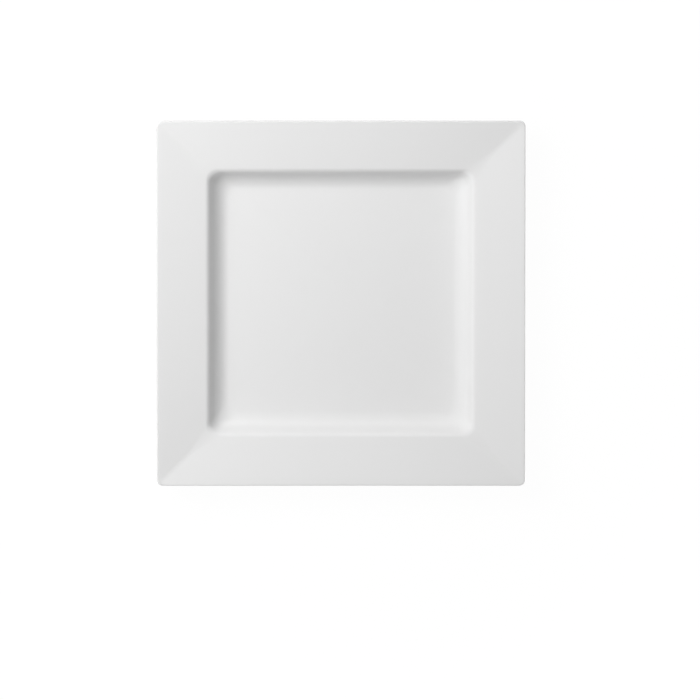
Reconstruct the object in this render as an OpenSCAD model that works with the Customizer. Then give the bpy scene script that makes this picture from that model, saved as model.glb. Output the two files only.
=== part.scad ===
// Square dinner plate with a wide mitred rim, a rounded well and a bare foot ring.
// Millimetres, +Z up. The origin is the centre of the plane that the foot stands on.
// One section is drawn from the middle of the well, over the rim and back under the foot.
// It is carried round a square with rounded corners, which makes the fired porcelain body.
// Two films of glaze lie on the body: one over the face, the edge and the back, and one
// inside the foot ring. The foot between them is wiped bare and ground flat.

/* [Plate] */
// Overall width, across the rim
plate_w = 266; // [240:1:300]
// Radius of the plate's four corners, seen from above
rim_corner_r = 4.2; // [3:0.1:12]

/* [Rim] */
// Width of the rim, from the plate's edge to the line where it breaks into the well
rim_w = 37.5; // [30:0.5:44]
// Rise of the rim towards the edge, in degrees
rim_slope = 10; // [5:0.5:15]
// Thickness of the rim
rim_t = 4.4; // [3.8:0.1:6]
// Rounding of the plate's edge, above and below
edge_r = 0.8; // [0.6:0.1:2.2]

/* [Well] */
// Depth of the well, from the rim's break to the floor
well_depth = 13; // [9:0.5:18]
// Steepness of the well's wall, in degrees
wall_slope = 61; // [48:1:66]
// Rounding where the rim breaks into the well
mouth_r = 5; // [3:0.5:10]
// Rounding where the wall runs out into the floor
floor_r = 12.5; // [8:0.5:20]
// Corner radius of the well where the rim breaks, seen from above
mouth_corner_r = 8.5; // [4:0.5:16]
// Corner radius of the well's floor, seen from above
floor_corner_r = 8; // [4:0.5:20]

/* [Back] */
// Thickness of the floor
floor_t = 4.8; // [4.2:0.1:7]
// Thickness of the well's wall
wall_t = 4.2; // [3.6:0.1:6]
// Rounding under the rim's break
back_mouth_r = 8; // [3:0.5:12]
// Rounding of the heel, where the wall turns under the floor
heel_r = 16.5; // [6:0.5:20]
// Corner radius of the back under the rim's break, seen from below
back_corner_r = 12; // [6:0.5:20]

/* [Foot] */
// Height of the foot ring
foot_h = 3.4; // [2.6:0.1:5]
// Width of the foot ring at its tip, with its glaze
foot_w = 5; // [4:0.1:7]
// Distance from the foot ring out to the line where floor and wall would meet
foot_inset = 10; // [8:0.5:16]
// Draft of the foot ring's two sides, in degrees
foot_draft = 10; // [4:1:18]
// Rounding of the foot ring's tip, under its glaze
foot_tip_r = 1.5; // [0.8:0.1:1.8]
// Rounding where the foot ring grows out of the floor
foot_root_r = 1.6; // [0.8:0.1:2]
// Corner radius of the foot ring's outer side
foot_corner_r = 16; // [12:0.5:28]
// Height ground off the tip to make it stand flat
foot_grind = 0.2; // [0.1:0.05:0.5]

/* [Glaze] */
// Thickness of the fired glaze
glaze_t = 0.35; // [0.2:0.05:0.5]
// Height above the table at which the glaze stops
glaze_line = 1.2; // [0.8:0.1:1.6]

/* [Hidden] */

// Share of a straight side that the roundings at its two ends may use between them
side_share = 0.96;
// Coarsest turn of a rounding, and its shortest chord as a share of the rim's thickness
arc_turn = 8;
chord_share = 0.16;
// Fewest chords of a rounding, and those of a corner seen from above
arc_steps = 3;
corner_steps = 6;

half_w = plate_w / 2;
// Levels of the floor, of the rim's break, and of the glazed foot's tip before it is ground
floor_z = foot_h + floor_t;
mouth_z = floor_z + well_depth;
tip_z = -foot_grind - glaze_t;
// Distances from the middle to the rim's break, the foot of the wall and the foot ring
mouth_u = half_w - rim_w;
floor_u = mouth_u - well_depth / tan(wall_slope);
foot_u = floor_u - foot_inset;

// Level of the rim's upper face at distance u, and the rim's thickness measured upright
function rim_z(u) = mouth_z + (u - mouth_u) * tan(rim_slope);
rim_drop = rim_t / cos(rim_slope);
// Distance of the back of the wall at level z, and where it meets the underside of the rim
function back_u(z) = mouth_u + (z - mouth_z) / tan(wall_slope) + wall_t / sin(wall_slope);
back_mouth_u = mouth_u + (wall_t / sin(wall_slope) - rim_drop / tan(wall_slope))
                       / (1 - tan(rim_slope) / tan(wall_slope));
// Distances of the foot ring's outer and inner side at level z
function foot_out(z) = foot_u + z * tan(foot_draft);
function foot_in(z) = foot_u - foot_w - z * tan(foot_draft);

// The section of the glazed plate as corners [distance from the middle, level, rounding].
// It runs from the middle of the well to the middle of the back, with the body on its right.
// The foot's tip is still glazed here, and is trimmed bare below.
section = [
    [0, floor_z, 0],
    [floor_u, floor_z, floor_r],
    [mouth_u, mouth_z, mouth_r],
    [half_w, rim_z(half_w), edge_r],
    [half_w, rim_z(half_w) - rim_drop, edge_r],
    [back_mouth_u, rim_z(back_mouth_u) - rim_drop, back_mouth_r],
    [back_u(foot_h), foot_h, heel_r],
    [foot_out(foot_h), foot_h, foot_root_r],
    [foot_out(tip_z), tip_z, foot_tip_r + glaze_t],
    [foot_in(tip_z), tip_z, foot_tip_r + glaze_t],
    [foot_in(foot_h), foot_h, foot_root_r],
    [0, foot_h, 0]
];
// Which corner is the last of all, the last on the face, and the foot's outer and inner tip
LAST = len(section) - 1;
LAST_FACE = 3;
OUTER_TIP = LAST - 3;
INNER_TIP = OUTER_TIP + 1;

// Corner radii seen from above, by distance from the middle, on the face and on the back
face_corners = [
    [floor_u, floor_corner_r],
    [mouth_u, mouth_corner_r],
    [half_w - edge_r, rim_corner_r],
    [half_w, rim_corner_r]
];
back_corners = [
    [foot_u - foot_w, foot_corner_r - foot_w],
    [foot_u, foot_corner_r],
    [back_mouth_u, back_corner_r],
    [half_w - edge_r, rim_corner_r],
    [half_w, rim_corner_r]
];
function corners_at(i) = i > LAST_FACE ? back_corners : face_corners;

function dir(angle) = [cos(angle), sin(angle)];
// Side i of a path runs from corner i to the next
function side(path, i) = [path[i + 1][0] - path[i][0], path[i + 1][1] - path[i][1]];
function side_dir(path, i) = atan2(side(path, i)[1], side(path, i)[0]);
// The turn at corner i, positive to the left, which is at a hollow
function turn_at(path, i) =
    let (d = side_dir(path, i) - side_dir(path, i - 1))
    d > 180 ? d - 360 : d < -180 ? d + 360 : d;
// Length that the rounding at corner i takes from each of its two sides
function reach(path, i) = path[i][2] == 0 ? 0 : path[i][2] * tan(abs(turn_at(path, i)) / 2);
// Share of its radius that corner i keeps so that it and its neighbours fit on side s
function fit_share(path, s) =
    side_share * norm(side(path, s)) / (reach(path, s) + reach(path, s + 1));

// The section with each rounding limited by its two sides
fitted = [
    for (i = [0 : LAST])
        let (p = section[i], ends = i == 0 || i == LAST)
        [p[0], p[1], ends ? 0 : p[2] * min(1, fit_share(section, i - 1), fit_share(section, i))]
];

// The rings [distance, level, corner radius] that the rounding at corner i sweeps, moved by d
// into the body. The centres stay, of the rounding and of the corner seen from above, so a
// film between two such runs of rings has the same thickness all over.
function rounding(i, d) =
    let (
        turn = turn_at(fitted, i),
        start = side_dir(fitted, i - 1),
        r = sign(turn) * fitted[i][2],
        corner = [fitted[i][0], fitted[i][1]],
        centre = corner - reach(fitted, i) * dir(start) + r * dir(start + 90),
        arc = abs(r * turn) * PI / 180,
        chords = min(abs(turn) / arc_turn, arc / (chord_share * rim_t)),
        steps = max(arc_steps, ceil(chords))
    )
    [
        for (k = [0 : steps])
            let (
                n = dir(start + 90 + turn * k / steps),
                p = centre - (r + d) * n,
                c = lookup(centre[0] - r * n[0], corners_at(i)) - d * n[0]
            )
            [p[0], p[1], c]
    ];
function outer_rings(d) = [for (i = [1 : OUTER_TIP]) each rounding(i, d)];
function inner_rings(d) = [for (i = [INNER_TIP : LAST - 1]) each rounding(i, d)];

// Points of one ring, anticlockwise from above: a square with rounded corners
function ring_points(ring) = [
    for (q = [0 : 3], k = [0 : corner_steps])
        let (
            p = [ring[0] - ring[2], ring[0] - ring[2]] + ring[2] * dir(90 * k / corner_steps),
            x = dir(90 * q),
            y = dir(90 * q + 90)
        )
        concat(p[0] * x + p[1] * y, ring[1])
];
RING = 4 * (corner_steps + 1);

// Triangles of the band between rings a and b. Two rings are always split the same way,
// whichever side the band faces, so a film lies on the body with no gap.
function band(a, b, outwards) = [
    for (k = [0 : RING - 1])
        let (
            n = (k + 1) % RING,
            p = [a * RING + k, a * RING + n, b * RING + n, b * RING + k]
        )
        each outwards
            ? [[p[0], p[1], p[2]], [p[0], p[2], p[3]]]
            : [[p[0], p[2], p[1]], [p[0], p[3], p[2]]]
];
function bands(first, last, outwards) =
    [for (i = [first : last - 1]) each band(i, i + 1, outwards)];
// A flat lid on ring i
function lid(i, upwards) =
    [[for (k = [0 : RING - 1]) i * RING + (upwards ? RING - 1 - k : k)]];

// A solid inside one run of rings, with a lid at each end
module lofted(run) {
    last = len(run) - 1;
    polyhedron(
        points = [for (ring = run) each ring_points(ring)],
        faces = concat(lid(0, true), bands(0, last, true), lid(last, false)),
        convexity = 6
    );
}

// A film between an outer and an inner run of rings. Its lids are at the middle of the plate,
// on the first ring or else the last, and a band joins the runs at the other end.
module film(outer, inner, lid_first) {
    n = len(outer);
    lidded = lid_first ? 0 : n - 1;
    open = lid_first ? n - 1 : 0;
    polyhedron(
        points = [for (ring = concat(outer, inner)) each ring_points(ring)],
        faces = concat(
            bands(0, n - 1, true),
            bands(n, 2 * n - 1, false),
            lid(lidded, lid_first),
            lid(n + lidded, !lid_first),
            band(open, n + open, lid_first)
        ),
        convexity = 8
    );
}

// Takes off everything below a level
module trim_below(level) {
    difference() {
        children();
        translate([-plate_w, -plate_w, level - plate_w])
            cube([2 * plate_w, 2 * plate_w, plate_w]);
    }
}

// The fired clay: floor, wall, rim and foot ring in one, ground flat at the foot's tip
module porcelain_body() {
    color([0.90, 0.89, 0.87])
        trim_below(0)
            lofted(concat(outer_rings(glaze_t), inner_rings(glaze_t)));
}

// The glaze over the well, the rim, the edge and the back, down to the foot's outer side
module outer_glaze() {
    color([0.94, 0.94, 0.94])
        trim_below(glaze_line)
            film(outer_rings(0), outer_rings(glaze_t), true);
}

// The glaze on the underside of the floor, inside the foot ring
module base_glaze() {
    color([0.94, 0.94, 0.94])
        trim_below(glaze_line)
            film(inner_rings(0), inner_rings(glaze_t), false);
}

porcelain_body();
outer_glaze();
base_glaze();
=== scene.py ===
"""Looks of a square dinner plate of white glazed porcelain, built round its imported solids.

The plate is one section carried round a square with rounded corners. Three pieces share it:
the fired clay with its bare foot, the coat of glaze over the face and back, and the coat
inside the foot. The section is worked out in millimetres, and the meshes are in metres.
"""

import logging
import math
from dataclasses import dataclass
from enum import Enum, IntEnum
from typing import ClassVar, Union

import bpy
import numpy as np
from mathutils import Matrix, Vector


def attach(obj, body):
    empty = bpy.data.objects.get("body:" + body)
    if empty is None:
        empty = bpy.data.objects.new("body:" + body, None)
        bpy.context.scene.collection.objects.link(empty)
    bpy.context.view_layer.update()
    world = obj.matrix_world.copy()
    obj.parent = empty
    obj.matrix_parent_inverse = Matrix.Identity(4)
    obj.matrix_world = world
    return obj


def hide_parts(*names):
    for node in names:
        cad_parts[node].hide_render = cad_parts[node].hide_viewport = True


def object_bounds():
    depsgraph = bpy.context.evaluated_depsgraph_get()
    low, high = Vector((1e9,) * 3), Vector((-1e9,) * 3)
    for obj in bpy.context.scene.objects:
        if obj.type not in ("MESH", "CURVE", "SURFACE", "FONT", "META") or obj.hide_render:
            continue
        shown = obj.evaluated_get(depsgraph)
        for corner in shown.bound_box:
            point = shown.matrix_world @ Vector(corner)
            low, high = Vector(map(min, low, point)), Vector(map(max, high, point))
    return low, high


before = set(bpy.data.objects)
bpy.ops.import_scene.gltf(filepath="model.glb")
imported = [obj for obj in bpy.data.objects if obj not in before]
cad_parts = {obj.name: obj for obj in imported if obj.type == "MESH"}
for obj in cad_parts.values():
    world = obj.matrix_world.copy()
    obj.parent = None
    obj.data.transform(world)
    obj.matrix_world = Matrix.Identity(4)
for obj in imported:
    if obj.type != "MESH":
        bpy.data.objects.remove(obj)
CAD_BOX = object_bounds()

LOG = logging.getLogger("plate")
MM = 0.001
BODY = "root"

Socket = bpy.types.NodeSocket
# What a node's input takes: the output of another node, a number, or a colour or vector
Input = Union[Socket, float, tuple[float, ...]]


class Slot(Enum):
    """The record's material slots."""

    BISQUE = "bisque"
    WHITE_GLAZE = "white_glaze"


class Spot(IntEnum):
    """The corners of the section, in the order in which its path meets them."""

    WELL_MIDDLE = 0
    WELL_FLOOR = 1
    WELL_MOUTH = 2
    EDGE_TOP = 3
    EDGE_BOTTOM = 4
    BACK_MOUTH = 5
    HEEL = 6
    FOOT_OUTER_ROOT = 7
    FOOT_OUTER_TIP = 8
    FOOT_INNER_TIP = 9
    FOOT_INNER_ROOT = 10
    BACK_MIDDLE = 11


@dataclass(frozen=True)
class Corner:
    """One corner of the section before it is rounded: distance from the middle, level, radius."""

    u: float
    z: float
    r: float


@dataclass(frozen=True)
class CornerPlan:
    """Corner radii seen from above, at given distances from the plate's middle."""

    distances: tuple[float, ...]
    radii: tuple[float, ...]

    def at(self, u: np.ndarray) -> np.ndarray:
        """Returns the radius at each distance u, in proportion between the given ones."""
        return np.interp(u, self.distances, self.radii)


def heading(degrees: float | np.ndarray) -> np.ndarray:
    """Returns the unit vector at an angle, with its two parts on the last axis."""
    angle = np.radians(degrees)
    return np.stack([np.cos(angle), np.sin(angle)], axis=-1)


def rise(degrees: float) -> float:
    """Returns how far a line at an angle rises for each unit that it goes along."""
    return math.tan(math.radians(degrees))


@dataclass(frozen=True)
class PlateSizes:
    """The sizes of the plate's solids, in millimetres and degrees.

    The fields are the driving sizes, and the methods give the lines that follow from them. A
    distance u is measured from the plate's middle, and a level z from the table.
    """

    # Overall width, and the plate's corner radius
    plate_w: float = 266.0
    rim_corner_r: float = 4.2
    # Rim: width out from its break, rise, thickness, and the rounding of its edge
    rim_w: float = 37.5
    rim_slope: float = 10.0
    rim_t: float = 4.4
    edge_r: float = 0.8
    # Well: depth, steepness, roundings of its mouth and floor, and their corners from above
    well_depth: float = 13.0
    wall_slope: float = 61.0
    mouth_r: float = 5.0
    floor_r: float = 12.5
    mouth_corner_r: float = 8.5
    floor_corner_r: float = 8.0
    # Back: thickness of floor and wall, roundings under the mouth and at the heel, its corner
    floor_t: float = 4.8
    wall_t: float = 4.2
    back_mouth_r: float = 8.0
    heel_r: float = 16.5
    back_corner_r: float = 12.0
    # Foot ring: height, width, distance in from the wall, draft, roundings, corner, grinding
    foot_h: float = 3.4
    foot_w: float = 5.0
    foot_inset: float = 10.0
    foot_draft: float = 10.0
    foot_tip_r: float = 1.5
    foot_root_r: float = 1.6
    foot_corner_r: float = 16.0
    foot_grind: float = 0.2
    # Glaze: thickness, and the level at which it stops
    glaze_t: float = 0.35
    glaze_line: float = 1.2

    @property
    def half_w(self) -> float:
        """Distance of the plate's edge."""
        return self.plate_w / 2

    @property
    def mouth_u(self) -> float:
        """Distance at which the rim breaks into the well."""
        return self.half_w - self.rim_w

    @property
    def floor_u(self) -> float:
        """Distance at which the wall meets the floor."""
        return self.mouth_u - self.well_depth / rise(self.wall_slope)

    @property
    def foot_u(self) -> float:
        """Distance of the foot ring's outer side at the table."""
        return self.floor_u - self.foot_inset

    @property
    def floor_z(self) -> float:
        """Level of the well's floor."""
        return self.foot_h + self.floor_t

    @property
    def mouth_z(self) -> float:
        """Level of the rim's break."""
        return self.floor_z + self.well_depth

    @property
    def tip_z(self) -> float:
        """Level of the glazed foot's tip before it is ground."""
        return -self.foot_grind - self.glaze_t

    @property
    def rim_drop(self) -> float:
        """Thickness of the rim, measured upright."""
        return self.rim_t / math.cos(math.radians(self.rim_slope))

    @property
    def wall_run(self) -> float:
        """Thickness of the wall, measured level."""
        return self.wall_t / math.sin(math.radians(self.wall_slope))

    @property
    def back_mouth_u(self) -> float:
        """Distance at which the back of the wall meets the underside of the rim."""
        wall = rise(self.wall_slope)
        return self.mouth_u + (self.wall_run - self.rim_drop / wall) / (1 - rise(self.rim_slope) / wall)

    def rim_z(self, u: float) -> float:
        """Returns the level of the rim's upper face at a distance."""
        return self.mouth_z + (u - self.mouth_u) * rise(self.rim_slope)

    def back_u(self, z: float) -> float:
        """Returns the distance of the back of the wall at a level."""
        return self.mouth_u + (z - self.mouth_z) / rise(self.wall_slope) + self.wall_run

    def foot_out(self, z: float) -> float:
        """Returns the distance of the foot ring's outer side at a level."""
        return self.foot_u + z * rise(self.foot_draft)

    def foot_in(self, z: float) -> float:
        """Returns the distance of the foot ring's inner side at a level."""
        return self.foot_u - self.foot_w - z * rise(self.foot_draft)


@dataclass(frozen=True)
class Stations:
    """Points along a section, as whole arrays in millimetres.

    Attributes:
        u: Distance of each station from the middle of the plate.
        z: Its level above the table.
        c: Corner radius, seen from above, of the ring that it sweeps.
    """

    u: np.ndarray
    z: np.ndarray
    c: np.ndarray

    def reversed(self) -> "Stations":
        """Returns the stations in the opposite order."""
        return Stations(self.u[::-1], self.z[::-1], self.c[::-1])

    def thinned(self, clay: "Stations", level: float, reach: float, share: float) -> "Stations":
        """Draws a skin of glaze in to the clay where it ends.

        The share of the way to the clay rises smoothly, as 3t^2 - 2t^3, from nought at the
        given reach above the level to its whole at the level.

        Args:
            clay: The clay's surface, station by station.
            level: The level at which the glaze ends, in millimetres.
            reach: How far above that level the glaze starts to thin.
            share: The share of its thickness that it loses.

        Returns:
            The thinned skin.
        """
        t = np.clip(1 - (self.z - level) / reach, 0.0, 1.0)
        way = share * t * t * (3 - 2 * t)
        pairs = ((self.u, clay.u), (self.z, clay.z), (self.c, clay.c))
        return Stations(*(a + way * (b - a) for a, b in pairs))

    def down_to(self, level: float) -> "Stations":
        """Cuts off the tail that dips below a level.

        The last station is where the chord between its neighbours meets the level.

        Args:
            level: The lowest level that stays, in millimetres.

        Returns:
            The stations up to that point.
        """
        low = int(np.argmax(self.z < level))
        share = (self.z[low - 1] - level) / (self.z[low - 1] - self.z[low])
        ends = [a[low - 1] + share * (a[low] - a[low - 1]) for a in (self.u, self.z, self.c)]
        kept = zip((self.u, self.z, self.c), ends)
        return Stations(*(np.append(a[:low], end) for a, end in kept))


def joined(*runs: Stations) -> Stations:
    """Returns several runs of stations as one."""
    return Stations(*(np.concatenate([getattr(r, k) for r in runs]) for k in ("u", "z", "c")))


class PlateSection:
    """The plate's section, from the middle of the well over the rim to the middle of the back.

    The clay lies on the right of the path. Each corner is rounded by an arc that touches both
    of its sides. A section that is moved into the clay keeps the centres of the arcs.
    """

    # Roughly the least turn in degrees and the least length of a chord, and the fewest chords
    ARC_TURN = 2.5
    ARC_CHORD = 0.3
    ARC_STEPS = 8
    # Longest step along a straight, and how many stations a flat middle has with its centre
    STRAIGHT_STEP = 3.0
    FLAT_STATIONS = 16
    # Radius of the rim's mitre seen from above, and where it starts to sharpen, is sharp and
    # starts to open again, as shares of the rim's width
    MITRE_R = 2.4
    MITRE_SHARES = (0.1, 0.35, 0.9)

    def __init__(self, sizes: PlateSizes) -> None:
        """Works out the corners, and the corner radii seen from above.

        Args:
            sizes: The plate's driving sizes.
        """
        s = sizes
        edge_z, under_z = s.rim_z(s.half_w), s.rim_z(s.back_mouth_u) - s.rim_drop
        tip_r = s.foot_tip_r + s.glaze_t
        self.corners: dict[int, Corner] = {
            Spot.WELL_MIDDLE: Corner(0.0, s.floor_z, 0.0),
            Spot.WELL_FLOOR: Corner(s.floor_u, s.floor_z, s.floor_r),
            Spot.WELL_MOUTH: Corner(s.mouth_u, s.mouth_z, s.mouth_r),
            Spot.EDGE_TOP: Corner(s.half_w, edge_z, s.edge_r),
            Spot.EDGE_BOTTOM: Corner(s.half_w, edge_z - s.rim_drop, s.edge_r),
            Spot.BACK_MOUTH: Corner(s.back_mouth_u, under_z, s.back_mouth_r),
            Spot.HEEL: Corner(s.back_u(s.foot_h), s.foot_h, s.heel_r),
            Spot.FOOT_OUTER_ROOT: Corner(s.foot_out(s.foot_h), s.foot_h, s.foot_root_r),
            Spot.FOOT_OUTER_TIP: Corner(s.foot_out(s.tip_z), s.tip_z, tip_r),
            Spot.FOOT_INNER_TIP: Corner(s.foot_in(s.tip_z), s.tip_z, tip_r),
            Spot.FOOT_INNER_ROOT: Corner(s.foot_in(s.foot_h), s.foot_h, s.foot_root_r),
            Spot.BACK_MIDDLE: Corner(0.0, s.foot_h, 0.0),
        }
        edge_u = s.half_w - s.edge_r
        mitre_u = [s.mouth_u + share * s.rim_w for share in self.MITRE_SHARES]
        mouth_c, mitre_c = s.mouth_corner_r, self.MITRE_R
        self.face_plan = CornerPlan(
            (s.floor_u, s.mouth_u, *mitre_u, edge_u),
            (s.floor_corner_r, mouth_c, mouth_c, mitre_c, mitre_c, s.rim_corner_r),
        )
        self.back_plan = CornerPlan(
            (s.foot_u - s.foot_w, s.foot_u, s.back_mouth_u, edge_u),
            (s.foot_corner_r - s.foot_w, s.foot_corner_r, s.back_corner_r, s.rim_corner_r),
        )

    def _side(self, i: int) -> np.ndarray:
        """Returns the vector from corner i to the next."""
        a, b = self.corners[i], self.corners[i + 1]
        return np.array([b.u - a.u, b.z - a.z])

    def _direction(self, i: int) -> float:
        """Returns the direction of side i, in degrees."""
        return math.degrees(math.atan2(self._side(i)[1], self._side(i)[0]))

    def _turn(self, i: int) -> float:
        """Returns the turn at corner i, in degrees, positive to the left, at a hollow."""
        return (self._direction(i) - self._direction(i - 1) + 180) % 360 - 180

    def _reach(self, i: int) -> float:
        """Returns the length that the rounding of corner i takes from each of its sides."""
        return self.corners[i].r * rise(abs(self._turn(i)) / 2)

    def _plan(self, i: int) -> CornerPlan:
        """Returns the plan that the rings of corner i and of its next side follow."""
        return self.back_plan if i > Spot.EDGE_TOP else self.face_plan

    def _arc(self, i: int, inset: float) -> Stations:
        """Rounds one corner.

        The centre lies one radius aside of the point where the arc leaves the first side.
        Each station is the centre less the signed radius and the inset, along the normal.
        Its ring's corner radius is the plan's, less what the inset moves it inwards.

        Args:
            i: Which corner.
            inset: How far the section is moved into the clay, in millimetres.

        Returns:
            The stations of the arc.
        """
        corner, turn, start = self.corners[i], self._turn(i), self._direction(i - 1)
        r = math.copysign(corner.r, turn)
        start_point = np.array([corner.u, corner.z]) - self._reach(i) * heading(start)
        centre = start_point + r * heading(start + 90)
        chords = min(abs(turn) / self.ARC_TURN, math.radians(abs(r * turn)) / self.ARC_CHORD)
        steps = max(self.ARC_STEPS, math.ceil(chords))
        normal = heading(start + 90 + turn * np.linspace(0.0, 1.0, steps + 1))
        point = centre - (r + inset) * normal
        drawn_u = centre[0] - r * normal[:, 0]
        return Stations(point[:, 0], point[:, 1], self._plan(i).at(drawn_u) - inset * normal[:, 0])

    def _straight(self, i: int, inset: float, a: Stations, b: Stations) -> Stations:
        """Spaces stations evenly along what the roundings leave of one side.

        Their number follows the drawn side, so a moved section has as many as the drawn one.
        Each ring's corner radius is the plan's, less what the inset moves it inwards.

        Args:
            i: Which side.
            inset: How far the section is moved into the clay, in millimetres.
            a: The arc before it.
            b: The arc after it.

        Returns:
            The stations between the two arcs.
        """
        length = float(np.hypot(*self._side(i))) - self._reach(i) - self._reach(i + 1)
        steps = max(1, math.ceil(length / self.STRAIGHT_STEP))
        t = np.linspace(0.0, 1.0, steps + 1)[1:-1]
        u, z = (p[-1] + t * (q[0] - p[-1]) for p, q in ((a.u, b.u), (a.z, b.z)))
        moved_in = inset * heading(self._direction(i) + 90)[0]
        return Stations(u, z, self._plan(i).at(u + moved_in) - moved_in)

    def _run(self, first: Spot, last: Spot, inset: float) -> Stations:
        """Draws several corners and the straights between them.

        Args:
            first: The first corner.
            last: The last corner.
            inset: How far the section is moved into the clay, in millimetres.

        Returns:
            The stations from the first arc's start to the last arc's end.
        """
        arcs = [self._arc(i, inset) for i in range(first, last + 1)]
        runs = [arcs[0]]
        for i, (a, b) in enumerate(zip(arcs, arcs[1:]), first):
            runs += [self._straight(i, inset, a, b), b]
        return joined(*runs)

    def _flat(self, run: Stations, end: int) -> Stations:
        """Spaces rings evenly over a flat middle, from its centre out to one end of a run.

        Args:
            run: The run that the flat middle meets.
            end: The index of the station that it meets, first or last.

        Returns:
            The stations, of which the first is the centre and the last stops short of the run.
        """
        t = np.linspace(0.0, 1.0, self.FLAT_STATIONS + 1)[:-1]
        return Stations(t * run.u[end], np.full_like(t, run.z[end]), t * run.c[end])

    def outer(self, inset: float) -> Stations:
        """Draws the path from the middle of the well over the rim to the foot's outer tip.

        Args:
            inset: How far the section is moved into the clay, in millimetres.

        Returns:
            Its stations.
        """
        run = self._run(Spot.WELL_FLOOR, Spot.FOOT_OUTER_TIP, inset)
        return joined(self._flat(run, 0), run)

    def inner(self, inset: float) -> Stations:
        """Draws the path from the middle of the back out to the foot's inner tip.

        Args:
            inset: How far the section is moved into the clay, in millimetres.

        Returns:
            Its stations.
        """
        run = self._run(Spot.FOOT_INNER_TIP, Spot.FOOT_INNER_ROOT, inset)
        return joined(self._flat(run, -1), run.reversed())


@dataclass(frozen=True)
class KilnWarp:
    """How pressing and firing leave the plate, against its drawing.

    Attributes:
        middle: What the middle of each side sinks, as a share of its height.
        corner: What the four corners sink.
        lean: What one corner sinks more than the opposite one.
        lean_way: The way to that corner, along x and y, as shares that add up to one.
        drift: How far the well lies off the middle of the rim, in millimetres.
        spread: What the well has widened each way, as a share.
        fade_power: The power of the distance with which drift and spread fade out.
    """

    middle: float = 0.020
    corner: float = 0.002
    lean: float = 0.003
    lean_way: tuple[float, float] = (0.6, -0.4)
    drift: tuple[float, float] = (-0.2, -0.4)
    spread: tuple[float, float] = (0.0, 0.006)
    fade_power: int = 8

    # Least divisor, so that nothing is divided by nought on the axis
    NEAR_AXIS: ClassVar[float] = 1e-9

    def moved(self, xyz: np.ndarray, half_w: float) -> np.ndarray:
        """Moves each point from the drawing to where the fired plate has it.

        Each level loses a share that is smooth in x and y: it is greatest at the middle of
        the sides, small on the diagonals, and leans a little to one side, so level nought
        stays. Drift and spread are nearly whole in the well and fall to nought at the plate's
        edge, as one less a high power of x, times the same of y.

        Args:
            xyz: Points in millimetres, with x, y and z on the last axis.
            half_w: Half the plate's width, in millimetres.

        Returns:
            The moved points.
        """
        x, y = xyz[..., 0] / half_w, xyz[..., 1] / half_w
        out = x * x + y * y
        diagonal = 4 * (x * y) ** 2 / np.maximum(out**2, self.NEAR_AXIS)
        share = self.corner + np.clip(out, 0.0, 1.0) * (self.middle - self.corner) * (1 - diagonal)
        share = share + self.lean * (1 + self.lean_way[0] * x + self.lean_way[1] * y) / 2
        power = self.fade_power
        inside = (1 - np.minimum(x**power, 1.0)) * (1 - np.minimum(y**power, 1.0))
        result = xyz.copy()
        result[..., :2] += inside[..., None] * (np.array(self.drift) + xyz[..., :2] * self.spread)
        result[..., 2] *= 1 - share
        return result


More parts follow.
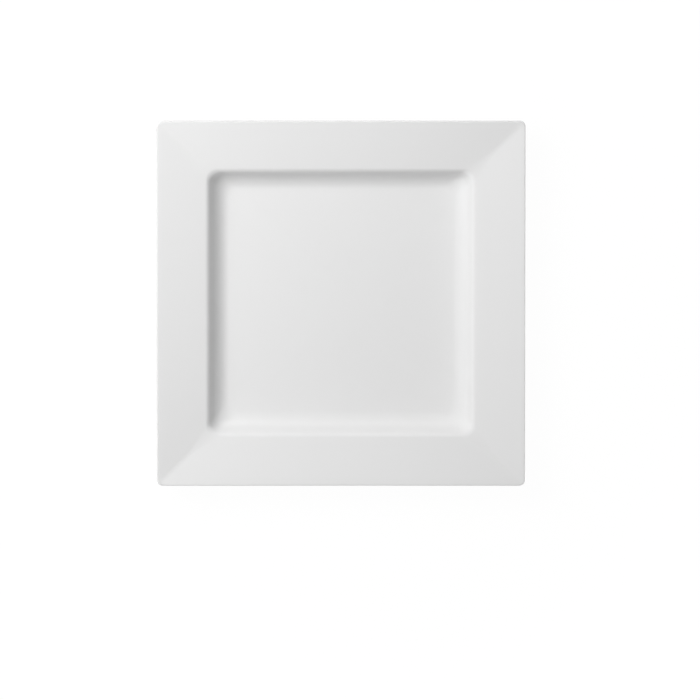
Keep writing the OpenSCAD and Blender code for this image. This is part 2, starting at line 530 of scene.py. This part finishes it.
class SquareSweep:
    """Carries a path of stations round a square with rounded corners, as a closed mesh."""

    CORNER_STEPS = 14
    SIDE_STEPS = 26

    def __init__(self, warp: KilnWarp, half_w: float) -> None:
        """Makes the plan of one ring, as the points of a square and of a circle.

        Each quarter has an arc, whose points all share one corner of the square, and then a
        straight side, whose points all share one point of the circle.

        Args:
            warp: How pressing and firing leave the plate.
            half_w: Half the plate's width, in millimetres.
        """
        self.warp, self.half_w = warp, half_w
        arc = heading(90 * np.linspace(0.0, 1.0, self.CORNER_STEPS + 1))
        t = np.linspace(0.0, 1.0, self.SIDE_STEPS + 1)[1:-1]
        side = np.stack([1 - 2 * t, np.ones_like(t)], axis=-1)
        square = np.concatenate([np.ones_like(arc), side])
        circle = np.concatenate([arc, np.tile([0.0, 1.0], (len(t), 1))])
        quarters = [np.linalg.matrix_power([[0.0, -1.0], [1.0, 0.0]], q) for q in range(4)]
        self.square = np.concatenate([square @ m.T for m in quarters])
        self.circle = np.concatenate([circle @ m.T for m in quarters])

    def rings(self, stations: Stations) -> np.ndarray:
        """Works out every point of the surface.

        A ring is the sum of a square, whose half width is the station's distance less its
        corner radius, and a circle of that radius. Its level is the station's.

        Args:
            stations: The path.

        Returns:
            Points in millimetres, with one row for each station and one column round it.
        """
        side = (stations.u - stations.c)[:, None, None]
        xy = side * self.square + stations.c[:, None, None] * self.circle
        z = np.broadcast_to(stations.z[:, None, None], xy.shape[:2] + (1,))
        return self.warp.moved(np.concatenate([xy, z], axis=-1), self.half_w)

    @staticmethod
    def faces(count: int, around: int) -> list[list[int]]:
        """Joins the points of a swept path, whose two ends are single points.

        Each pair of rings gives a band of quads, and each end a fan of triangles round it.

        Args:
            count: How many stations the path has, with its two ends.
            around: How many points each ring has.

        Returns:
            The point numbers of each face.
        """
        ring = np.arange(around)
        after = np.roll(ring, -1)
        rows = 1 + around * np.arange(count - 3)[:, None]
        quads = np.stack([rows + ring, rows + around + ring, rows + around + after, rows + after], -1)
        last_row = 1 + around * (count - 3)
        first_fan = np.stack([np.zeros_like(ring), 1 + ring, 1 + after], -1)
        last_end = np.full_like(ring, last_row + around)
        last_fan = np.stack([last_end, last_row + after, last_row + ring], -1)
        return quads.reshape(-1, 4).tolist() + first_fan.tolist() + last_fan.tolist()

    def mesh(self, name: str, stations: Stations) -> bpy.types.Object:
        """Makes a closed, smooth mesh from a path that starts and ends on the plate's axis.

        Args:
            name: The piece's name.
            stations: The path, with the solid on its right.

        Returns:
            The new object, in metres, at the origin.
        """
        grid = self.rings(stations) * MM
        points = np.concatenate([grid[0, :1], grid[1:-1].reshape(-1, 3), grid[-1, :1]])
        faces = self.faces(*grid.shape[:2])
        data = bpy.data.meshes.new(name)
        data.from_pydata(points.tolist(), [], faces)
        data.polygons.foreach_set("use_smooth", np.ones(len(faces), bool))
        data.update()
        piece = bpy.data.objects.new(name, data)
        bpy.context.scene.collection.objects.link(piece)
        return piece


@dataclass(frozen=True)
class Pattern:
    """A noise: patches in a metre, times that they get finer, and weight of the finer ones."""

    scale: float
    detail: float
    rough: float = 0.5


class Nodes:
    """A short way to write a node tree."""

    # Numbers of a Mix node's two colour inputs and of its colour output
    MIX_COLOURS = (6, 7)
    MIX_RESULT = 2

    def __init__(self, tree: bpy.types.NodeTree) -> None:
        """Empties a tree, to be filled anew.

        Args:
            tree: The node tree of a material or of the world.
        """
        self.tree = tree
        tree.nodes.clear()

    def put(self, node: bpy.types.Node, key: str | int, value: Input) -> None:
        """Links a node's input to another node's output, or sets it to a plain value.

        Args:
            node: The node.
            key: The input's name or number.
            value: The output or the value.
        """
        if isinstance(value, Socket):
            self.tree.links.new(value, node.inputs[key])
        else:
            node.inputs[key].default_value = value

    def add(
        self, kind: str, inputs: dict[str | int, Input] | None = None, **settings: str
    ) -> bpy.types.Node:
        """Adds one node.

        Args:
            kind: The node's type name, without the prefix that all shader nodes share.
            inputs: What goes into each input, by its name or number.
            settings: Properties of the node.

        Returns:
            The new node.
        """
        node = self.tree.nodes.new("ShaderNode" + kind)
        for key, value in settings.items():
            setattr(node, key, value)
        for key, value in (inputs or {}).items():
            self.put(node, key, value)
        return node

    def position(self) -> Socket:
        """Returns the place of the shaded point, in the object's own coordinates."""
        return self.add("TexCoord").outputs["Object"]

    def math(self, operation: str, *values: Input) -> Socket:
        """Returns the output of a Math node with these inputs."""
        return self.add("Math", dict(enumerate(values)), operation=operation).outputs[0]

    def square_distance(self, where: Socket) -> Socket:
        """Returns how far out a place is from the plate's axis, along x or y, whichever is more."""
        axes = self.add("SeparateXYZ", {"Vector": where}).outputs
        return self.math("MAXIMUM", self.math("ABSOLUTE", axes[0]), self.math("ABSOLUTE", axes[1]))

    def noise(self, where: Socket, pattern: Pattern) -> Socket:
        """Returns the value of a noise pattern, from 0 to 1."""
        sizes = {"Scale": pattern.scale, "Detail": pattern.detail, "Roughness": pattern.rough}
        return self.add("TexNoise", {"Vector": where, **sizes}).outputs["Fac"]

    def ramp(
        self, value: Socket, given: tuple[float, float], wanted: tuple[float, float]
    ) -> Socket:
        """Maps a value smoothly from one range to another, and holds it at their ends.

        Args:
            value: The value.
            given: The range that it is in.
            wanted: The range that it is mapped to.

        Returns:
            The mapped value.
        """
        ends = dict(zip(("From Min", "From Max", "To Min", "To Max"), given + wanted))
        node = self.add("MapRange", {"Value": value, **ends}, interpolation_type="SMOOTHSTEP")
        return node.outputs["Result"]

    def blend(
        self, share: Socket, a: tuple[float, float, float], b: tuple[float, float, float]
    ) -> Socket:
        """Mixes two colours.

        Args:
            share: The share of the second colour.
            a: The first colour.
            b: The second colour.

        Returns:
            The mixed colour.
        """
        node = self.add("Mix", {"Factor": share}, data_type="RGBA")
        for key, colour in zip(self.MIX_COLOURS, (a, b)):
            self.put(node, key, (*colour, 1.0))
        return node.outputs[self.MIX_RESULT]

    def bump(self, height: Socket, distance: float, under: Socket | None = None) -> Socket:
        """Raises a relief.

        Args:
            height: The relief, from 0 to 1.
            distance: Its full height, in metres.
            under: The normal of a coarser relief that it lies on.

        Returns:
            The normal.
        """
        normal = {} if under is None else {"Normal": under}
        relief = {"Height": height, "Distance": distance, "Strength": 1.0, **normal}
        return self.add("Bump", relief).outputs[0]

    def plain_ray(self) -> Socket:
        """Tells the rays that see a plain white background from those that light the plate.

        Returns:
            1 for rays from the camera, or off or through a glossy surface, or else 0.
        """
        path = self.add("LightPath").outputs
        mirror = self.math("MAXIMUM", path["Is Glossy Ray"], path["Is Transmission Ray"])
        return self.math("MAXIMUM", path["Is Camera Ray"], mirror)


def new_material(name: str) -> tuple[bpy.types.Material, Nodes]:
    """Makes a material with an empty node tree.

    Args:
        name: Its name.

    Returns:
        The material, and what writes its tree.
    """
    material = bpy.data.materials.new(name)
    material.use_nodes = True
    return material, Nodes(material.node_tree)


@dataclass(frozen=True)
class WhiteGlaze:
    """Clear gloss over white clay.

    Attributes:
        full: Colour where the glaze lies thick.
        thin: Colour where it thins.
        mottle: Pattern in which it is thinner and thicker all over.
        mottle_share: Share of the thin colour where the mottle is strongest.
        edge_reach: How far in from the edge it starts to thin and is thinnest, in metres.
        edge_share: Share of the thin colour at the edge.
        roughness: Lowest and highest roughness.
        clouds: Pattern of smoother and rougher gloss.
        wear: Pattern of fine wear on the clouds.
        wear_share: The wear's weight, where the clouds' is one.
        rough_range: Sums of clouds and wear at which the roughness is lowest and highest.
        swell: Pattern of the slow waves in the surface.
        swell_height: Their height, in metres.
        peel: Pattern of the fine ripple that the glaze sets with.
        peel_height: Its height, in metres.
        ior: The glaze's index of refraction.
    """

    full: tuple[float, float, float] = (0.815, 0.815, 0.815)
    thin: tuple[float, float, float] = (0.797, 0.796, 0.793)
    mottle: Pattern = Pattern(38.0, 3.0)
    mottle_share: float = 0.25
    edge_reach: tuple[float, float] = (0.0022, 0.0002)
    edge_share: float = 0.8
    roughness: tuple[float, float] = (0.05, 0.11)
    clouds: Pattern = Pattern(22.0, 2.0)
    wear: Pattern = Pattern(900.0, 2.0)
    wear_share: float = 0.4
    rough_range: tuple[float, float] = (0.3, 1.1)
    swell: Pattern = Pattern(45.0, 1.0)
    swell_height: float = 0.00003
    peel: Pattern = Pattern(420.0, 2.0)
    peel_height: float = 0.000004
    ior: float = 1.5

    def material(self, name: str, half_w: float) -> bpy.types.Material:
        """Builds the material.

        Args:
            name: The material's name.
            half_w: Half the plate's width, in metres, at which the glaze thins.

        Returns:
            The finished material.
        """
        material, n = new_material(name)
        where = n.position()
        edge = tuple(half_w - reach for reach in self.edge_reach)
        thinner = n.ramp(n.square_distance(where), edge, (0.0, self.edge_share))
        share = n.math("MULTIPLY_ADD", n.noise(where, self.mottle), self.mottle_share, thinner)
        wear, clouds = n.noise(where, self.wear), n.noise(where, self.clouds)
        rough = n.math("MULTIPLY_ADD", wear, self.wear_share, clouds)
        swell = n.bump(n.noise(where, self.swell), self.swell_height)
        inputs = {
            "Base Color": n.blend(share, self.full, self.thin),
            "Roughness": n.ramp(rough, self.rough_range, self.roughness),
            "Normal": n.bump(n.noise(where, self.peel), self.peel_height, swell),
            "IOR": self.ior,
        }
        n.add("OutputMaterial", {"Surface": n.add("BsdfPrincipled", inputs).outputs[0]})
        return material


@dataclass(frozen=True)
class BareClay:
    """Fired clay without glaze, ground flat at the foot.

    Attributes:
        clay: Its clean colour.
        rubbed: Its colour where shelves and tables have rubbed it.
        marks: Pattern of the rubbed patches.
        marks_lift: What is added to the grain before it weighs the patches.
        marks_range: Weights of a patch between which the clay turns rubbed.
        rubbed_share: Share of the rubbed colour at most.
        roughness: Lowest and highest roughness.
        grain: Pattern of the grain.
        grain_range: Values of the grain at which the roughness is lowest and highest.
        grain_height: Height of the grain, in metres.
    """

    clay: tuple[float, float, float] = (0.78, 0.755, 0.71)
    rubbed: tuple[float, float, float] = (0.60, 0.585, 0.56)
    marks: Pattern = Pattern(60.0, 5.0, 0.65)
    marks_lift: float = 0.5
    marks_range: tuple[float, float] = (0.5, 0.8)
    rubbed_share: float = 0.7
    roughness: tuple[float, float] = (0.7, 0.95)
    grain: Pattern = Pattern(2600.0, 4.0, 0.6)
    grain_range: tuple[float, float] = (0.25, 0.75)
    grain_height: float = 0.00003

    def material(self, name: str) -> bpy.types.Material:
        """Builds the material.

        Args:
            name: The material's name.

        Returns:
            The finished material.
        """
        material, n = new_material(name)
        where = n.position()
        grain, marks = n.noise(where, self.grain), n.noise(where, self.marks)
        weight = n.math("MULTIPLY", marks, n.math("ADD", grain, self.marks_lift))
        rubbed = n.ramp(weight, self.marks_range, (0.0, self.rubbed_share))
        inputs = {
            "Base Color": n.blend(rubbed, self.clay, self.rubbed),
            "Roughness": n.ramp(grain, self.grain_range, self.roughness),
            "Normal": n.bump(grain, self.grain_height),
        }
        n.add("OutputMaterial", {"Surface": n.add("BsdfPrincipled", inputs).outputs[0]})
        return material


@dataclass(frozen=True)
class PaleFloor:
    """Matt pale floor, which the camera sees mixed with plain white.

    The share of white is low under the plate, higher beside it and whole far from it, so the
    plate's shadow stays and no horizon shows. The low share under the plate is painted shade:
    it darkens the floor there, over and above the plate's real shadow.

    Attributes:
        colour: The floor's colour.
        shade: The colour of its faint patches, as a share of the floor's.
        patches: Their pattern.
        white: Strength of the plain white.
        painted_shade_glow: Share of plain white under the plate, kept low as painted shade there.
        beside_glow: Share of plain white beside the plate.
        painted_shade_reach: Distances along x or y between which the painted shade under the plate
            turns into beside, in metres.
        shadow_reach: Distances between which the floor's own shading fades out, in metres.
    """

    colour: tuple[float, float, float] = (0.86, 0.86, 0.86)
    shade: float = 0.97
    patches: Pattern = Pattern(60.0, 3.0)
    white: float = 1.02
    painted_shade_glow: float = 0.5
    beside_glow: float = 0.95
    painted_shade_reach: tuple[float, float] = (0.09, 0.136)
    shadow_reach: tuple[float, float] = (0.2, 0.5)

    def material(self, name: str) -> bpy.types.Material:
        """Builds the material.

        Args:
            name: The material's name.

        Returns:
            The finished material.
        """
        material, n = new_material(name)
        where = n.position()
        away = n.add("VectorMath", {0: where}, operation="LENGTH").outputs["Value"]
        beside = n.ramp(away, self.shadow_reach, (self.beside_glow, 1.0))
        # Less plain white under the plate: painted shade that darkens the floor there, over its real
        # shadow
        under = n.ramp(n.square_distance(where), self.painted_shade_reach, (self.painted_shade_glow, 1.0))
        share = n.math("MULTIPLY", n.math("MINIMUM", beside, under), n.plain_ray())
        shaded = tuple(self.shade * c for c in self.colour)
        colour = n.blend(n.noise(where, self.patches), self.colour, shaded)
        matt = n.add("BsdfDiffuse", {"Color": colour}).outputs[0]
        glow = {"Color": (1.0, 1.0, 1.0, 1.0), "Strength": self.white}
        white = n.add("Emission", glow).outputs[0]
        mix = n.add("MixShader", {0: share, 1: matt, 2: white}).outputs[0]
        n.add("OutputMaterial", {"Surface": mix})
        return material


class DinnerPlate:
    """The three pieces of the plate."""

    # The glaze thins towards the bare foot over so many millimetres, by this share
    THIN_REACH = 1.1
    THIN_SHARE = 0.8

    def __init__(self, sizes: PlateSizes, warp: KilnWarp) -> None:
        """Prepares the section, its sweep and the two finishes.

        Args:
            sizes: The plate's driving sizes.
            warp: How pressing and firing leave the plate.
        """
        self.sizes = sizes
        self.section = PlateSection(sizes)
        self.sweep = SquareSweep(warp, sizes.half_w)
        self.glaze = WhiteGlaze().material("white_glaze", sizes.half_w * MM)
        self.clay = BareClay().material("bare_clay")

    def _finish(
        self, piece: bpy.types.Object, finish: bpy.types.Material, node: str
    ) -> bpy.types.Object:
        """Gives a piece its finish and its body, and hides the solid that it stands for.

        Args:
            piece: The piece.
            finish: Its material.
            node: The solid that it replaces.

        Returns:
            The piece.
        """
        piece.data.materials.append(finish)
        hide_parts(node)
        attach(piece, BODY)
        return piece

    def _skin(self, drawn: Stations, clay: Stations) -> Stations:
        """Returns the drawn surface of a coat, drawn in to the clay towards its end."""
        return drawn.thinned(clay, self.sizes.glaze_line, self.THIN_REACH, self.THIN_SHARE)

    def _coat(self, name: str, out: Stations, back: Stations, node: str) -> bpy.types.Object:
        """Makes a coat of glaze between two paths, down to the level where it stops.

        Both paths start at the plate's axis, and one is the skin and the other the clay.

        Args:
            name: The piece's name.
            out: The path that the coat is followed out along, with the glaze on its right.
            back: The path that it is followed back along.
            node: The solid that the coat replaces.

        Returns:
            The coat.
        """
        line = self.sizes.glaze_line
        piece = self.sweep.mesh(name, joined(out.down_to(line), back.down_to(line).reversed()))
        return self._finish(piece, self.glaze, node)

    def porcelain(self) -> bpy.types.Object:
        """Makes the fired clay: one glaze thickness inside the form, and ground at level nought.

        Returns:
            The body.
        """
        t = self.sizes.glaze_t
        face, base = self.section.outer(t), self.section.inner(t)
        piece = self.sweep.mesh("porcelain", joined(face.down_to(0.0), base.down_to(0.0).reversed()))
        return self._finish(piece, self.clay, "porcelain_body")

    def outer_coat(self) -> bpy.types.Object:
        """Makes the glaze on face, edge and back: out along its skin, back along the clay.

        Returns:
            The coat.
        """
        clay = self.section.outer(self.sizes.glaze_t)
        skin = self._skin(self.section.outer(0.0), clay)
        return self._coat("outer_glaze_coat", skin, clay, "outer_glaze")

    def base_coat(self) -> bpy.types.Object:
        """Makes the glaze inside the foot: out along the clay, back along its skin.

        Returns:
            The coat.
        """
        clay = self.section.inner(self.sizes.glaze_t)
        skin = self._skin(self.section.inner(0.0), clay)
        return self._coat("base_glaze_coat", clay, skin, "base_glaze")


@dataclass(frozen=True)
class Camera:
    """The photograph's view, in its own pixels and in degrees.

    Attributes:
        frame_px: Width and height of the photograph.
        plate_px: Width of the plate in it.
        centre_px: Where the middle of the plate's outline lies, from the top left.
        from_top: How far the camera leans over to the picture's top, from straight above.
        distance: How far away the camera is, in metres.
        sensor: Width of its sensor, in millimetres.
        sight: How far it sees, as a multiple of its distance.
    """

    frame_px: float = 700.0
    plate_px: float = 368.6
    centre_px: tuple[float, float] = (341.0, 303.85)
    from_top: float = 8.6
    distance: float = 12.0
    sensor: float = 36.0
    sight: float = 10.0

    def place(self, low: Vector, high: Vector) -> bpy.types.Object:
        """Adds the camera and makes it the scene's own.

        The picture's right is the plate's x, and its up is y, tipped down by the view's lean.

        Args:
            low: The plate's lowest corner, in metres.
            high: Its highest corner.

        Returns:
            The camera.
        """
        pixel = (high.x - low.x) / self.plate_px
        lean = math.radians(self.from_top)
        right = Vector((1, 0, 0))
        up = Vector((0, math.cos(lean), -math.sin(lean)))
        back = right.cross(up)
        middle = Vector(((low.x + high.x) / 2, (low.y + high.y) / 2, high.z))
        off_x = self.frame_px / 2 - self.centre_px[0]
        off_y = self.frame_px / 2 - self.centre_px[1]
        aim = middle + right * off_x * pixel - up * off_y * pixel
        data = bpy.data.cameras.new("camera")
        data.sensor_width = self.sensor
        data.lens = self.sensor * self.distance / (self.frame_px * pixel)
        data.clip_end = self.sight * self.distance
        camera = bpy.data.objects.new("camera", data)
        turn = Matrix((right, up, back)).transposed().to_4x4()
        camera.matrix_world = Matrix.Translation(aim + back * self.distance) @ turn
        bpy.context.scene.collection.objects.link(camera)
        bpy.context.scene.camera = camera
        return camera


@dataclass(frozen=True)
class Softbox:
    """A flat light that faces the plate.

    Attributes:
        name: Its name.
        azimuth: Where it hangs, in degrees from the picture's right towards its top.
        elevation: How high it hangs, in degrees.
        distance: How far from the plate's middle, in metres.
        size: Its width and height, in metres.
        power: Its power, in watts.
        mirrored: Whether it shows in the gloss of the glaze, or the plain surround instead.
    """

    name: str
    azimuth: float
    elevation: float
    distance: float
    size: tuple[float, float]
    power: float
    mirrored: bool = True

    def hang(self, target: Vector) -> bpy.types.Object:
        """Adds the light, turned to a target and unseen by the camera.

        Args:
            target: What it faces.

        Returns:
            The light.
        """
        data = bpy.data.lights.new(self.name, "AREA")
        data.shape = "RECTANGLE"
        data.size, data.size_y = self.size
        data.energy = self.power
        light = bpy.data.objects.new(self.name, data)
        azimuth, elevation = math.radians(self.azimuth), math.radians(self.elevation)
        level = math.cos(elevation)
        way = Vector((level * math.cos(azimuth), level * math.sin(azimuth), math.sin(elevation)))
        light.location = target + self.distance * way
        light.rotation_euler = (-way).to_track_quat("-Z", "Y").to_euler()
        light.visible_camera = False
        light.visible_glossy = self.mirrored
        bpy.context.scene.collection.objects.link(light)
        return light


@dataclass(frozen=True)
class Studio:
    """A pale floor, an even white surround, and soft lamps of which the upper left one leads.

    Attributes:
        surround: Strength of the surround's light.
        floor_half: Half the floor's width, in metres.
        floor_look: The floor's finish.
        lamps: The softboxes.
    """

    surround: float = 0.1
    floor_half: float = 12.0
    floor_look: PaleFloor = PaleFloor()
    lamps: tuple[Softbox, ...] = (
        Softbox("key_softbox", 140.0, 46.0, 1.0, (0.7, 0.7), 7.94, mirrored=False),
        Softbox("upper_softbox", 80.0, 25.0, 1.2, (1.2, 1.2), 3.05),
        Softbox("left_softbox", 230.0, 25.0, 1.2, (1.2, 1.2), 4.1),
        Softbox("overhead_softbox", 0.0, 90.0, 1.2, (1.2, 1.2), 2.5),
        Softbox("low_card", 345.0, 0.0, 0.5, (0.8, 0.02), 1.1, mirrored=False),
    )

    def light(self, middle: Vector) -> None:
        """Sets the surround, which the camera sees as plain white, and hangs the lamps.

        Args:
            middle: The plate's middle, which the lamps face.
        """
        world = bpy.data.worlds.new("surround")
        world.use_nodes = True
        n = Nodes(world.node_tree)
        white = (1.0, 1.0, 1.0, 1.0)
        dim = n.add("Background", {"Color": white, "Strength": self.surround}).outputs[0]
        bright = n.add("Background", {"Color": white, "Strength": 1.0}).outputs[0]
        mix = n.add("MixShader", {0: n.plain_ray(), 1: dim, 2: bright}).outputs[0]
        n.add("OutputWorld", {"Surface": mix})
        bpy.context.scene.world = world
        for lamp in self.lamps:
            lamp.hang(middle)

    def floor(self) -> bpy.types.Object:
        """Lays the floor that the plate stands on.

        Returns:
            The floor.
        """
        h = self.floor_half
        data = bpy.data.meshes.new("floor")
        data.from_pydata([(-h, -h, 0), (h, -h, 0), (h, h, 0), (-h, h, 0)], [], [(0, 1, 2, 3)])
        data.materials.append(self.floor_look.material("floor"))
        floor = bpy.data.objects.new("floor", data)
        bpy.context.scene.collection.objects.link(floor)
        return floor


def main() -> None:
    """Builds the studio and the plate, and reports each piece."""
    logging.basicConfig(level=logging.INFO, format="%(name)s: %(message)s")
    bpy.context.scene.view_settings.view_transform = "Standard"
    low, high = CAD_BOX
    Camera().place(low, high)
    studio = Studio()
    studio.light((low + high) / 2)
    studio.floor()
    plate = DinnerPlate(PlateSizes(), KilnWarp())
    for piece in (plate.porcelain(), plate.outer_coat(), plate.base_coat()):
        LOG.info("%s has %d faces", piece.name, len(piece.data.polygons))


if __name__ == "__main__":
    main()
